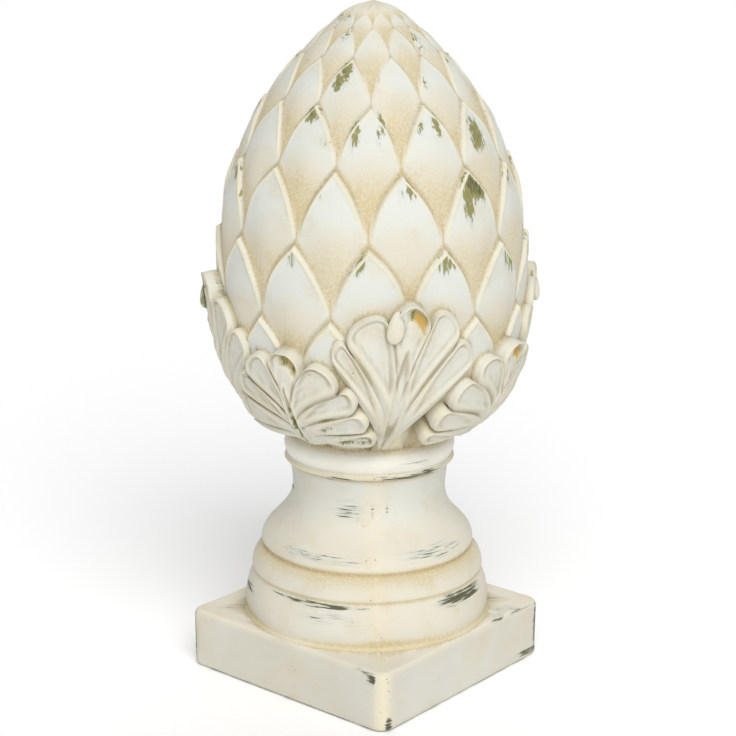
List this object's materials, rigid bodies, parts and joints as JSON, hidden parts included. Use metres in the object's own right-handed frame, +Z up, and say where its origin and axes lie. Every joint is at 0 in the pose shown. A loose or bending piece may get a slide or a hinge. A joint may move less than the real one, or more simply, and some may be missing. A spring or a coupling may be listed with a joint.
{
  "type": "pinecone finial",
  "caption": "Cast pinecone finial: a cone of overlapping pointed scales in a collar of lobed leaves, on a turned pedestal with a square plinth, in aged chalky paint",
  "frame": {"origin": "centre of the plinth's underside", "axes": "+Z up through the tip of the cone, X and Y square to the plinth's sides; a corner of the plinth at +X -Y faces the camera in the picture"},
  "size_m": [0.16, 0.16, 0.32],
  "materials": {
    "aged_paint": "matte chalky off-white paint with an ochre wash in the recesses and an olive undercoat worn through at the edges"
  },
  "bodies": {
    "root": {"pinecone_finial": "aged_paint"}
  },
  "joints": []
}
